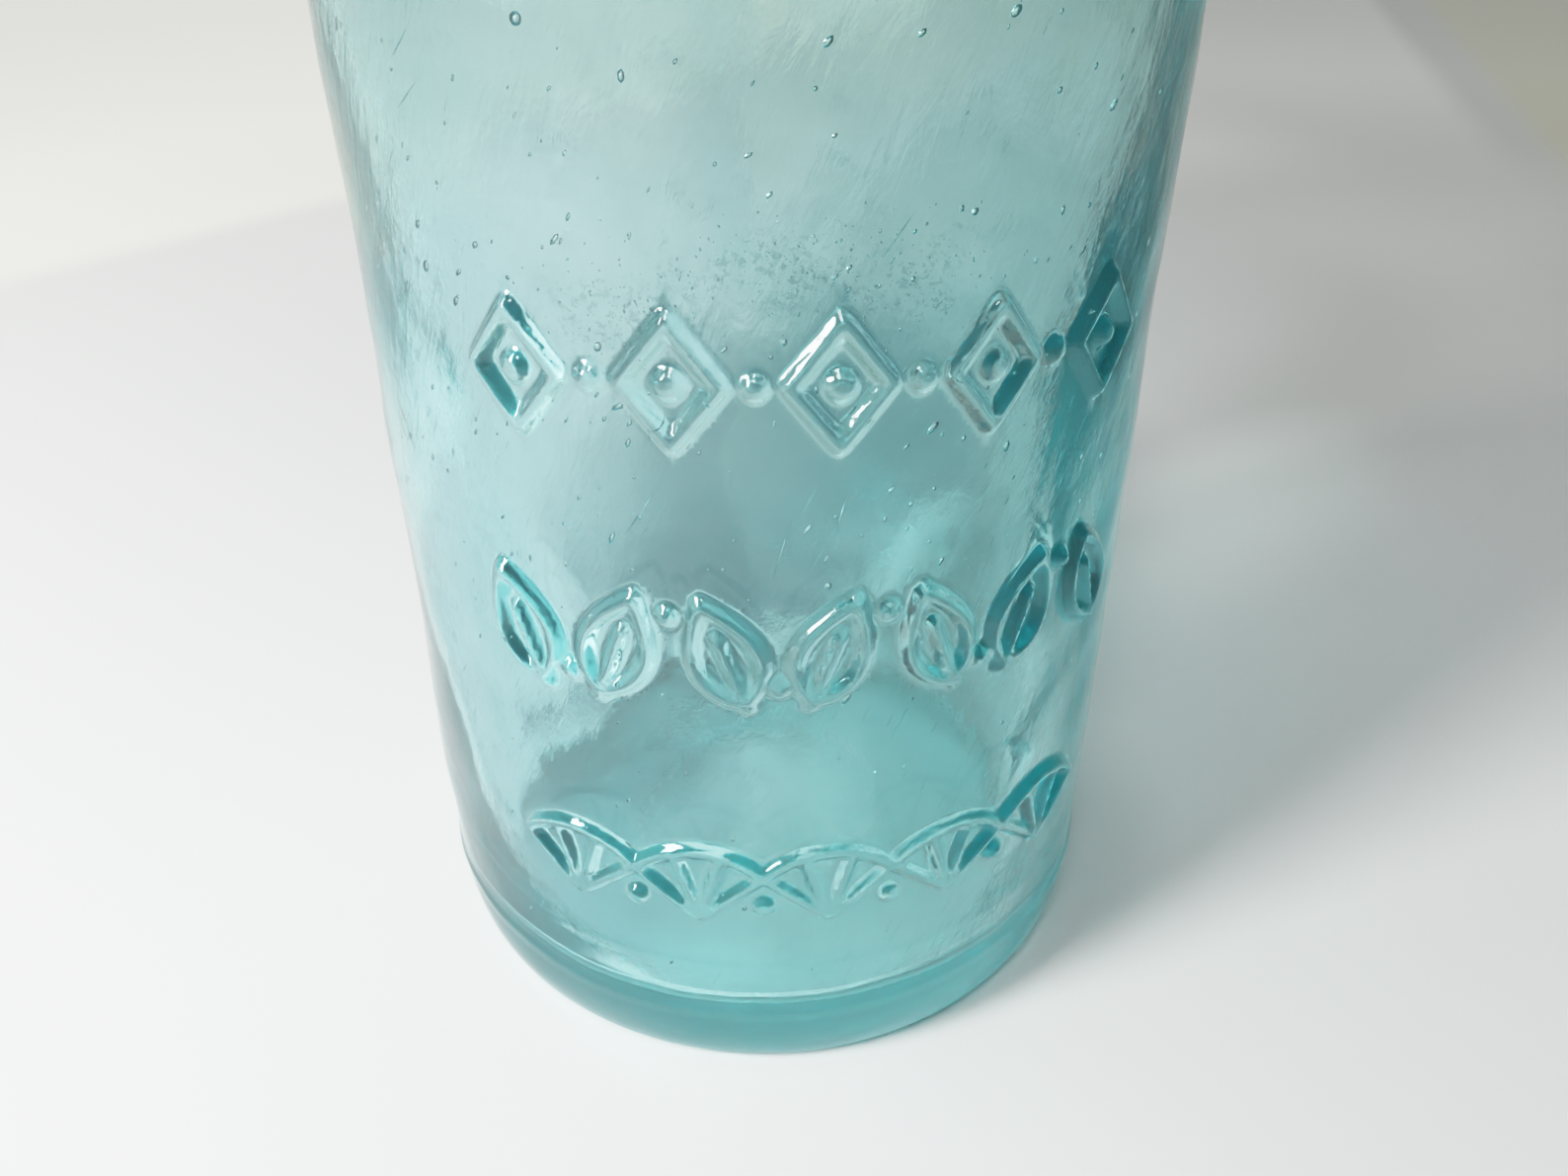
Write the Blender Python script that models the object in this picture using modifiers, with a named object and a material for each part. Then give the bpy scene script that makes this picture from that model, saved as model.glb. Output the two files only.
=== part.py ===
"""Hutchinson soda bottle: a mould-blown glass bottle with a blob lip and its internal spring-wire stopper.

Frame: metres, +Z up. The origin is on the standing surface, on the bottle's axis. -Y is the front.
The stopper is drawn closed: its rubber gasket is pulled up against the glass below the neck.
"""

import math

import bmesh
import bpy
from mathutils import Vector

MM = 0.001
TURN_STEPS = 48  # facets round a turned piece
GAP = 0.3  # clearance between neighbouring pieces, mm

# Glass body, mm
BODY_R = 32.5
WALL = 3.6
BEARING_R_IN = 24.5  # flat standing ring, inner and outer radius
BEARING_R_OUT = 29.6
KICK_UP = 1.6  # how far the middle of the base is pushed up
HEEL_H = 8.0
FLOOR_TOP = 4.6
INNER_CORNER_R = 25.6  # where the floor starts to curve up into the wall
INNER_CORNER_Z = 8.4
SHOULDER_Z = 102.0  # end of the straight side
SHOULDER_MID = (18.0, 130.5)  # outer surface where the shoulder turns into the neck
NECK_R = 13.4
NECK_Z = 142.0
NECK_END_R = 12.6
NECK_END_Z = 158.0
BORE_R = 8.0
BORE_Z = 137.0  # the bore is straight from here up
SEAT_MID = (15.5, 125.0)  # inner surface where the shoulder turns into the gasket's seat

# Blob lip, mm
LIP_SKIRT_Z = 154.6
LIP_TOP_Z = 176.0
LIP_R = 15.0  # at its widest, LIP_WIDE_Z
LIP_WIDE_Z = 166.5
MOUTH_R = 9.6
MOUTH_FLARE_Z = 163.0

# Stopper, mm
WIRE_R = 1.0
EYE_Z = 132.4
LOOP_TOP_Z = 188.6
GASKET_R = 12.5
GASKET_Z0 = 123.5
GASKET_Z1 = 128.1
UPPER_PLATE_R = 7.6
UPPER_PLATE_Z0 = GASKET_Z1 + GAP
LOWER_PLATE_R = 10.2
PLATE_T = 1.0
LOWER_PLATE_Z0 = GASKET_Z0 - GAP - PLATE_T
STUD_R = 2.0
STUD_BOSS_R = 3.3
STUD_HEAD_R = 4.6
STUD_HOLE_R = STUD_R + GAP
STUD_TOP_Z = 135.2


def clear_scene():
    for obj in list(bpy.data.objects):
        bpy.data.objects.remove(obj, do_unlink=True)


def collection(name):
    found = bpy.data.collections.new(name)
    bpy.context.scene.collection.children.link(found)
    return found


def material(name, colour, roughness, metallic=0.0, transmission=0.0, alpha=1.0):
    mat = bpy.data.materials.new(name)
    mat.use_nodes = True
    bsdf = mat.node_tree.nodes["Principled BSDF"]
    bsdf.inputs["Base Color"].default_value = (*colour, 1.0)
    bsdf.inputs["Roughness"].default_value = roughness
    bsdf.inputs["Metallic"].default_value = metallic
    bsdf.inputs["Transmission Weight"].default_value = transmission
    bsdf.inputs["Alpha"].default_value = alpha
    mat.diffuse_color = (*colour, alpha)
    return mat


def bezier(p0, p1, p2, p3, count, first=False):
    """Points along a cubic curve, without its first point unless asked for it."""
    points = []
    for i in range(0 if first else 1, count + 1):
        t = i / count
        a, b, c, d = (1 - t) ** 3, 3 * t * (1 - t) ** 2, 3 * t * t * (1 - t), t**3
        points.append(
            tuple(a * p0[k] + b * p1[k] + c * p2[k] + d * p3[k] for k in (0, 1))
        )
    return points


def ellipse(centre, a, b, start, end, count, first=False):
    """Points along an elliptical arc between two angles in degrees, without its first point unless asked for it."""
    points = []
    for i in range(0 if first else 1, count + 1):
        angle = math.radians(start + (end - start) * i / count)
        points.append(
            (centre[0] + a * math.cos(angle), centre[1] + b * math.sin(angle))
        )
    return points


def turned(name, profile, mat, where, steps=TURN_STEPS):
    """A solid of revolution about Z. The profile is a list of (radius, height) in mm that runs down the outer side. It is closed on itself unless it starts and ends on the axis."""
    mesh = bpy.data.meshes.new(name)
    bm = bmesh.new()
    verts = [bm.verts.new((r * MM, 0.0, z * MM)) for r, z in profile]
    for a, b in zip(verts, verts[1:]):
        bm.edges.new((a, b))
    if profile[0][0] > 1e-6:
        bm.edges.new((verts[-1], verts[0]))
    bm.to_mesh(mesh)
    bm.free()
    obj = bpy.data.objects.new(name, mesh)
    where.objects.link(obj)
    screw = obj.modifiers.new("Turn", "SCREW")
    screw.steps = steps
    screw.render_steps = steps
    screw.use_merge_vertices = True
    screw.merge_threshold = 1e-5
    screw.use_smooth_shade = True
    obj.data.materials.append(mat)
    return obj


def catmull(points, per_span):
    """A smooth curve through every point, as a list of points."""
    ends = [points[0] * 2 - points[1]] + points + [points[-1] * 2 - points[-2]]
    out = []
    for i in range(1, len(ends) - 2):
        a, b, c, d = ends[i - 1 : i + 3]
        for k in range(per_span):
            t = k / per_span
            out.append(
                0.5
                * (
                    2 * b
                    + (c - a) * t
                    + (2 * a - 5 * b + 4 * c - d) * t * t
                    + (3 * b - a - 3 * c + d) * t**3
                )
            )
    out.append(points[-1])
    return out


def glass_profile():
    """The blown body: floor, inner wall, gasket seat, bore, end of the neck, outer wall, heel and base."""
    inner_r = BODY_R - WALL
    points = [(0.0, FLOOR_TOP), (INNER_CORNER_R * 0.5, FLOOR_TOP + 0.05)]
    points.append((INNER_CORNER_R, FLOOR_TOP + 0.3))
    points += ellipse(
        (INNER_CORNER_R, INNER_CORNER_Z),
        inner_r - INNER_CORNER_R,
        INNER_CORNER_Z - FLOOR_TOP - 0.3,
        -90,
        0,
        5,
    )
    points += [(inner_r, 45.0), (inner_r, 75.0), (inner_r, SHOULDER_Z)]
    points += bezier(
        (inner_r, SHOULDER_Z),
        (inner_r, SHOULDER_Z + 10.5),
        (22.0, 119.5),
        SEAT_MID,
        7,
    )
    points += bezier(SEAT_MID, (11.5, 128.4), (BORE_R, 131.0), (BORE_R, BORE_Z), 7)
    points += [(BORE_R, NECK_END_Z), (NECK_END_R, NECK_END_Z), (NECK_R, NECK_Z)]
    points += bezier(
        (NECK_R, NECK_Z), (13.9, 136.5), (15.6, 132.8), SHOULDER_MID, 5
    )
    points += bezier(
        SHOULDER_MID, (24.5, 124.5), (BODY_R, 116.0), (BODY_R, SHOULDER_Z), 8
    )
    points += [(BODY_R, 75.0), (BODY_R, 45.0), (BODY_R, HEEL_H)]
    points += ellipse(
        (BEARING_R_OUT, HEEL_H), BODY_R - BEARING_R_OUT, HEEL_H, 0, -90, 6
    )
    points += [(BEARING_R_IN, 0.0), (BEARING_R_IN * 0.6, KICK_UP * 0.7)]
    points.append((0.0, KICK_UP))
    return points


def lip_profile():
    """The blob lip: its skirt laps over the end of the neck, and its bore opens out towards the mouth."""
    fit_r = NECK_END_R + 0.25 + GAP
    seat_z = NECK_END_Z + GAP
    points = [(fit_r, LIP_SKIRT_Z), (fit_r, seat_z), (BORE_R, seat_z)]
    points += [(BORE_R, MOUTH_FLARE_Z)]
    points += bezier(
        (BORE_R, MOUTH_FLARE_Z), (BORE_R, 167.5), (9.0, 171.0), (MOUTH_R, 174.8), 4
    )
    points += ellipse((MOUTH_R + 1.2, 174.8), 1.2, LIP_TOP_Z - 174.8, 180, 90, 3)
    points.append((11.7, LIP_TOP_Z))
    points += bezier(
        (11.7, LIP_TOP_Z), (14.2, LIP_TOP_Z), (LIP_R, 171.6), (LIP_R, LIP_WIDE_Z), 6
    )
    points += bezier(
        (LIP_R, LIP_WIDE_Z), (LIP_R, 161.6), (14.6, 157.4), (13.5, LIP_SKIRT_Z), 5
    )
    return points


def gasket_profile():
    """The rubber disc, with a rounded upper edge that beds on the glass and a straight lower edge."""
    mid = 0.5 * (GASKET_Z0 + GASKET_Z1)
    points = [(STUD_HOLE_R, GASKET_Z0), (STUD_HOLE_R, GASKET_Z1)]
    points.append((GASKET_R - 1.6, GASKET_Z1))
    points += ellipse((GASKET_R - 1.6, GASKET_Z1 - 1.5), 1.6, 1.5, 90, 0, 3)
    points.append((GASKET_R, mid - 1.0))
    points += ellipse((GASKET_R - 0.8, GASKET_Z0 + 0.8), 0.8, 0.8, 0, -90, 2)
    return points


def upper_plate_profile():
    """A stamped washer whose rim turns down a little into the rubber's top."""
    z0, z1, r = UPPER_PLATE_Z0, UPPER_PLATE_Z0 + PLATE_T, UPPER_PLATE_R
    points = [(STUD_HOLE_R, z0), (STUD_HOLE_R, z1), (r - 1.2, z1)]
    points += ellipse((r - 1.2, z1 - 1.0), 1.2, 1.0, 90, 0, 3)
    return points


def lower_plate_profile():
    """A stamped washer whose rim turns up round the gasket's lower edge."""
    z0, z1, r = LOWER_PLATE_Z0, LOWER_PLATE_Z0 + PLATE_T, LOWER_PLATE_R
    points = [(STUD_HOLE_R, z0), (STUD_HOLE_R, z1), (r, z1)]
    points += ellipse((r - 1.2, z1), 1.2, PLATE_T, 0, -90, 3)
    return points


def stud_profile():
    """The stud, from the top down: domed boss with the eye, shank, riveted head."""
    boss_z0 = UPPER_PLATE_Z0 + PLATE_T + GAP
    head_z1 = LOWER_PLATE_Z0 - GAP
    points = [(0.0, STUD_TOP_Z)]
    points += ellipse((0.0, STUD_TOP_Z - 1.3), STUD_BOSS_R, 1.3, 90, 0, 4)
    points += [(STUD_BOSS_R, boss_z0), (STUD_R, boss_z0), (STUD_R, head_z1)]
    points += [(STUD_HEAD_R, head_z1), (STUD_HEAD_R, head_z1 - 0.4)]
    points += ellipse((0.0, head_z1 - 0.4), STUD_HEAD_R, 1.2, 0, -90, 4)
    return points


def wire_route():
    """The centreline of the spring wire: out of the stud's eye, up the bore as a narrow lobe, in to a waist, and round the wider loop that stands out of the mouth."""
    half = [
        (0.35, EYE_Z),
        (2.0, EYE_Z),
        (3.6, EYE_Z),
        (5.2, EYE_Z + 0.9),
        (6.1, EYE_Z + 3.0),
        (6.5, EYE_Z + 7.0),
        (6.6, 146.0),
        (6.3, 153.0),
        (5.1, 159.5),
        (3.8, 164.5),
        (3.45, 168.5),
        (4.1, 172.5),
        (5.9, 176.4),
        (7.35, 180.6),
        (7.0, 184.6),
        (4.4, 187.6),
        (0.0, LOOP_TOP_Z),
    ]
    left = [(-x, z) for x, z in reversed(half[:-1])]
    return catmull([Vector((x, 0.0, z)) for x, z in half + left], 3)


def wire(name, points, radius, mat, where):
    curve = bpy.data.curves.new(name, "CURVE")
    curve.dimensions = "3D"
    curve.bevel_depth = radius * MM
    curve.bevel_resolution = 2
    curve.use_fill_caps = True
    spline = curve.splines.new("POLY")
    spline.points.add(len(points) - 1)
    for point, place in zip(spline.points, points):
        point.co = (*(place * MM), 1.0)
    obj = bpy.data.objects.new(name, curve)
    where.objects.link(obj)
    curve.materials.append(mat)
    return obj


def main():
    clear_scene()
    parts = collection("hutchinson_bottle")
    cutters = collection("cutters")

    glass = material("aqua_glass", (0.42, 0.74, 0.72), 0.05, 0.0, 0.9)
    tinned = material("tinned_wire", (0.46, 0.44, 0.41), 0.38, 1.0)
    plate = material("plate_metal", (0.40, 0.37, 0.33), 0.45, 1.0)
    rubber = material("gasket_rubber", (0.045, 0.042, 0.04), 0.75)

    turned("glass_bottle", glass_profile(), glass, parts)
    turned("blob_lip", lip_profile(), glass, parts, 40)

    # The stopper's pieces hang from one empty on the neck's axis, along which they slide.
    axis = bpy.data.objects.new("stopper_axis", None)
    axis.location = (0.0, 0.0, EYE_Z * MM)
    parts.objects.link(axis)
    bpy.context.view_layer.update()

    stud = turned("stopper_stud", stud_profile(), plate, parts, 28)
    eye = bpy.data.meshes.new("eye_cutter")
    bm = bmesh.new()
    bmesh.ops.create_cone(
        bm,
        cap_ends=True,
        segments=24,
        radius1=(WIRE_R + GAP) * MM,
        radius2=(WIRE_R + GAP) * MM,
        depth=4 * STUD_BOSS_R * MM,
    )
    bm.to_mesh(eye)
    bm.free()
    cutter = bpy.data.objects.new("eye_cutter", eye)
    cutter.location = (0.0, 0.0, EYE_Z * MM)
    cutter.rotation_euler = (0.0, math.pi / 2, 0.0)
    cutter.hide_render = True
    cutter.display_type = "WIRE"
    cutters.objects.link(cutter)
    cut = stud.modifiers.new("Eye", "BOOLEAN")
    cut.operation = "DIFFERENCE"
    cut.solver = "EXACT"
    cut.object = cutter

    moving = [
        stud,
        wire("spring_wire_loop", wire_route(), WIRE_R, tinned, parts),
        turned("upper_plate", upper_plate_profile(), plate, parts, 36),
        turned("rubber_gasket", gasket_profile(), rubber, parts, 40),
        turned("lower_plate", lower_plate_profile(), plate, parts, 36),
    ]
    for piece in moving:
        piece.parent = axis
        piece.matrix_parent_inverse = axis.matrix_world.inverted()


main()
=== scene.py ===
"""Looks of the Hutchinson soda bottle: aqua blown glass with raised ornament, seeds and ripples, and its wire stopper."""

import math

import bmesh
import bpy
import numpy as np
from mathutils import Matrix, Vector


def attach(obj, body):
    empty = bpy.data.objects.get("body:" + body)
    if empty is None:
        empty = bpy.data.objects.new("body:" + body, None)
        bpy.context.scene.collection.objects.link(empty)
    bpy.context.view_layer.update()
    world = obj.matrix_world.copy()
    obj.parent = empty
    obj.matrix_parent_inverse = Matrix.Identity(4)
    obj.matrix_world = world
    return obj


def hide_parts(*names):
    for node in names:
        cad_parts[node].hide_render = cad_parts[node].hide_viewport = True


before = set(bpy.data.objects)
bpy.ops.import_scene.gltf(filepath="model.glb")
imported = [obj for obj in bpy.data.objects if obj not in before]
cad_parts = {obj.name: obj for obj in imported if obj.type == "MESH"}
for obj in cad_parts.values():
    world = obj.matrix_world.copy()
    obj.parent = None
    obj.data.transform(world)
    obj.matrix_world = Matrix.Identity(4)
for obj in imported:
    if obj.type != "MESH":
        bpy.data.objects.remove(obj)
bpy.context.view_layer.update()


MM = 0.001

# ---------------------------------------------------------------- sizes, mm (as the construction has them)
BODY_R, WALL = 32.5, 3.6
BEARING_R_IN, BEARING_R_OUT, KICK_UP, HEEL_H = 24.5, 29.6, 1.6, 8.0
FLOOR_TOP, INNER_CORNER_R, INNER_CORNER_Z = 4.6, 25.6, 8.4
SHOULDER_Z, SHOULDER_MID = 102.0, (18.0, 130.5)
NECK_R, NECK_Z, NECK_END_R, NECK_END_Z = 13.4, 142.0, 12.6, 158.0
BORE_R, BORE_Z, SEAT_MID = 8.0, 137.0, (15.5, 125.0)
LIP_SKIRT_Z, LIP_TOP_Z, LIP_R, LIP_WIDE_Z = 154.6, 176.0, 15.0, 166.5
MOUTH_R, MOUTH_FLARE_Z = 9.6, 163.0
WIRE_R, EYE_Z, LOOP_TOP_Z = 1.0, 132.4, 188.6
FRONT_TURN = 9.5  # the ornament's middle, in degrees to the right of the front


# ---------------------------------------------------------------- small helpers
def bezier(p0, p1, p2, p3, n):
    t = np.linspace(0, 1, n + 1)[1:, None]
    p0, p1, p2, p3 = map(np.array, (p0, p1, p2, p3))
    return (
        (1 - t) ** 3 * p0 + 3 * t * (1 - t) ** 2 * p1 + 3 * t * t * (1 - t) * p2 + t**3 * p3
    )


def ellipse(c, a, b, start, end, n):
    t = np.radians(np.linspace(start, end, n + 1)[1:])
    return np.stack([c[0] + a * np.cos(t), c[1] + b * np.sin(t)], 1)


def line(p, q, n):
    t = np.linspace(0, 1, n + 1)[1:, None]
    return np.array(p) * (1 - t) + np.array(q) * t


def smooth(edge0, edge1, x):
    t = np.clip((x - edge0) / (edge1 - edge0), 0, 1)
    return t * t * (3 - 2 * t)


class Ripple:
    """A smooth random field over (angle, height) that closes on itself round the bottle. Its standard deviation is 1."""

    def __init__(self, seed, low_mm, high_mm, count=28, stretch=1.0):
        rng = np.random.default_rng(seed)
        k = 2 * np.pi / np.exp(rng.uniform(np.log(low_mm), np.log(high_mm), count))
        way = rng.uniform(0, np.pi, count)
        self.n = np.round(k * np.cos(way) * BODY_R)
        self.m = k * np.sin(way) / stretch
        self.phase = rng.uniform(0, 2 * np.pi, count)
        self.scale = 1 / np.sqrt(count / 2)

    def __call__(self, phi, z):
        out = np.zeros(np.broadcast(phi, z).shape)
        for n, m, p in zip(self.n, self.m, self.phase):
            out += np.cos(n * phi + m * z + p)
        return out * self.scale


def new_object(name, verts, faces, smooth_shade=True):
    mesh = bpy.data.meshes.new(name)
    verts = np.ascontiguousarray(verts, np.float32)
    mesh.from_pydata(verts.tolist(), [], faces)
    mesh.update()
    if smooth_shade:
        mesh.shade_smooth()
    obj = bpy.data.objects.new(name, mesh)
    bpy.context.scene.collection.objects.link(obj)
    return obj


# ---------------------------------------------------------------- raised ornament
def ornament():
    """The raised work in the plane of arc length and height, mm: lines as (points, half width), and solid petals as (centre, half length, half width, direction)."""
    lines, pads = [], []

    # Upper band: lozenges with a pip, and pips between them
    for i in range(5):
        s, z = (i - 2) * 10.6, 64.6
        w, h = 3.2, 4.0
        lines.append((np.array([(s - w, z), (s, z + h), (s + w, z), (s, z - h), (s - w, z)]), 0.55))
        pads.append(((s, z), 0.95, 0.95, 0.0))
        if i < 4:
            pads.append(((s + 5.3, z), 0.8, 0.8, 0.0))
    # Middle band: ribbed leaves that lean to and fro, with pips between them
    for i in range(7):
        s, z = (i - 3) * 7.7, 44.9
        lean = math.radians(90 + (20 if i % 2 == 0 else -20))
        along = np.array([math.cos(lean), math.sin(lean)])
        across = np.array([-along[1], along[0]])
        base = np.array([s, z]) - along * 4.3
        u = np.linspace(0, 1, 13)[:, None]
        side = 2.35 * np.sin(np.pi * u**0.8) ** 0.9
        lines.append((base + along * u * 8.6 + across * side, 0.5))
        lines.append((base + along * u * 8.6 - across * side, 0.5))
        lines.append((np.array([base - along * 0.6, base + along * 5.6]), 0.42))
        if i < 6:
            pads.append(((s + 3.85, z + (2.9 if i % 2 else -2.9)), 0.7, 0.7, 0.0))
    # Lower band: open fans, with pips between them
    for i in range(5):
        s, z = (i - 2) * 10.3, 19.7
        turn = np.radians(np.linspace(40, 140, 13))
        lines.append((np.stack([s + 6.6 * np.cos(turn), z + 6.6 * np.sin(turn)], 1), 0.52))
        for a in (40, 73, 107, 140):
            d = np.array([math.cos(math.radians(a)), math.sin(math.radians(a))])
            lines.append((np.array([(s, z), (s, z) + d * 6.6]), 0.45))
        if i < 4:
            pads.append(((s + 5.15, z + 1.2), 0.8, 0.8, 0.0))
    return lines, pads


def ornament_height(s, z):
    """How far the ornament stands out of the glass at each point, mm."""
    lines, pads = ornament()
    height = np.zeros(s.shape)
    soft = 0.42
    for points, half in lines:
        for a, b in zip(points, points[1:]):
            reach = half + soft + 0.1
            near = (
                (s > min(a[0], b[0]) - reach)
                & (s < max(a[0], b[0]) + reach)
                & (z > min(a[1], b[1]) - reach)
                & (z < max(a[1], b[1]) + reach)
            )
            ps, pz = s[near] - a[0], z[near] - a[1]
            d = b - a
            t = np.clip((ps * d[0] + pz * d[1]) / (d @ d), 0, 1)
            dist = np.hypot(ps - t * d[0], pz - t * d[1])
            height[near] = np.maximum(height[near], 1 - smooth(half - soft, half + soft, dist))
    for (cs, cz), long, short, turn in pads:
        near = (np.abs(s - cs) < long + 1) & (np.abs(z - cz) < long + 1)
        u = (s[near] - cs) * math.cos(turn) + (z[near] - cz) * math.sin(turn)
        v = (z[near] - cz) * math.cos(turn) - (s[near] - cs) * math.sin(turn)
        q = np.hypot(u / long, v / short)
        dist = (q - 1) * short
        height[near] = np.maximum(height[near], 1 - smooth(-0.45, 0.45, dist))
    return 0.78 * height


# ---------------------------------------------------------------- the glass
def angles():
    """Angles round the bottle in degrees from the front, finer where the ornament is."""
    fine = np.arange(-52, 52, 0.68)
    rest = np.linspace(fine[-1], fine[0] + 360, 88)[1:-1]
    return np.radians(np.concatenate([fine, rest]) + FRONT_TURN)


def inner_profile():
    r = BODY_R - WALL
    parts = [
        np.array([(0.0, FLOOR_TOP)]),
        line((0, FLOOR_TOP), (INNER_CORNER_R, FLOOR_TOP + 0.3), 9),
        ellipse((INNER_CORNER_R, INNER_CORNER_Z), r - INNER_CORNER_R, INNER_CORNER_Z - FLOOR_TOP - 0.3, -90, 0, 12),
        line((r, INNER_CORNER_Z), (r, SHOULDER_Z), 18),
        bezier((r, SHOULDER_Z), (r, SHOULDER_Z + 10.5), (22.0, 119.5), SEAT_MID, 10),
        bezier(SEAT_MID, (11.5, 128.4), (BORE_R, 131.0), (BORE_R, BORE_Z), 8),
        line((BORE_R, BORE_Z), (BORE_R, MOUTH_FLARE_Z), 6),
        bezier((BORE_R, MOUTH_FLARE_Z), (BORE_R, 167.5), (9.0, 171.0), (MOUTH_R, 174.8), 5),
        ellipse((MOUTH_R + 1.2, 174.8), 1.2, LIP_TOP_Z - 174.8, 180, 90, 4),
    ]
    return np.vstack(parts)


def outer_profile():
    parts = [
        line((MOUTH_R + 1.2, LIP_TOP_Z), (11.7, LIP_TOP_Z), 1),
        bezier((11.7, LIP_TOP_Z), (14.2, LIP_TOP_Z), (LIP_R, 171.6), (LIP_R, LIP_WIDE_Z), 9),
        bezier((LIP_R, LIP_WIDE_Z), (LIP_R, 161.6), (14.6, 157.4), (13.6, LIP_SKIRT_Z + 0.5), 8),
        bezier((13.6, LIP_SKIRT_Z + 0.5), (13.4, LIP_SKIRT_Z - 0.1), (12.9, LIP_SKIRT_Z + 0.2), (12.75, LIP_SKIRT_Z - 0.4), 4),
        line((12.75, LIP_SKIRT_Z - 0.4), (NECK_R, NECK_Z), 5),
        bezier((NECK_R, NECK_Z), (13.9, 136.5), (15.6, 132.8), SHOULDER_MID, 8),
        bezier(SHOULDER_MID, (24.5, 124.5), (BODY_R, 116.0), (BODY_R, SHOULDER_Z), 14),
        line((BODY_R, SHOULDER_Z), (BODY_R, 69.6), 24),
        line((BODY_R, 69.6), (BODY_R, 59.6), 28),
        line((BODY_R, 59.6), (BODY_R, 50.6), 8),
        line((BODY_R, 50.6), (BODY_R, 39.2), 32),
        line((BODY_R, 39.2), (BODY_R, 27.8), 10),
        line((BODY_R, 27.8), (BODY_R, 18.4), 26),
        line((BODY_R, 18.4), (BODY_R, 10.0), 6),
        line((BODY_R, 10.0), (BODY_R, HEEL_H), 7),
        ellipse((BEARING_R_OUT, HEEL_H), BODY_R - BEARING_R_OUT, HEEL_H, 0, -90, 18),
        line((BEARING_R_OUT, 0.0), (BEARING_R_IN, 0.0), 2),
        bezier((BEARING_R_IN, 0.0), (BEARING_R_IN - 2.5, 0.0), (16.0, KICK_UP), (0.0, KICK_UP), 9),
    ]
    return np.vstack(parts)


def normals_of(profile):
    """Unit normals of the profile, pointing out of the glass. The profile runs up inside and down outside."""
    d = np.gradient(profile, axis=0)
    n = np.stack([-d[:, 1], d[:, 0]], 1)
    return n / np.maximum(np.linalg.norm(n, axis=1), 1e-9)[:, None]


def uneven(phi, z):
    """How much thicker the wall is than its mean, mm: the bore of the body lies off centre, more glass stayed at the back right and low at the left, and it was drawn thin towards the shoulder."""
    off = (0.65 + 1.15 * np.cos(phi - math.radians(115)) * (1 - 0.85 * smooth(40, 84, z))) * smooth(5, 18, z) * (1 - smooth(88, 112, z))
    turn = (phi - math.radians(158) + math.pi) % (2 * math.pi) - math.pi
    slug = 2.3 * np.exp(-((turn / 0.72) ** 2)) * smooth(11, 25, z) * np.exp(-((np.maximum(z - 26, 0) / 21) ** 2))
    turn = (phi + math.radians(84) + 0.011 * (z - 30) + math.pi) % (2 * math.pi) - math.pi
    fold = 1.5 * np.exp(-((turn / 0.34) ** 2)) * smooth(5, 15, z) * np.exp(-((np.maximum(z - 26, 0) / 14) ** 2))
    drawn = -1.45 * smooth(54, 92, z) * (1 - smooth(104, 121, z))
    return off + slug + fold + drawn


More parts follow.
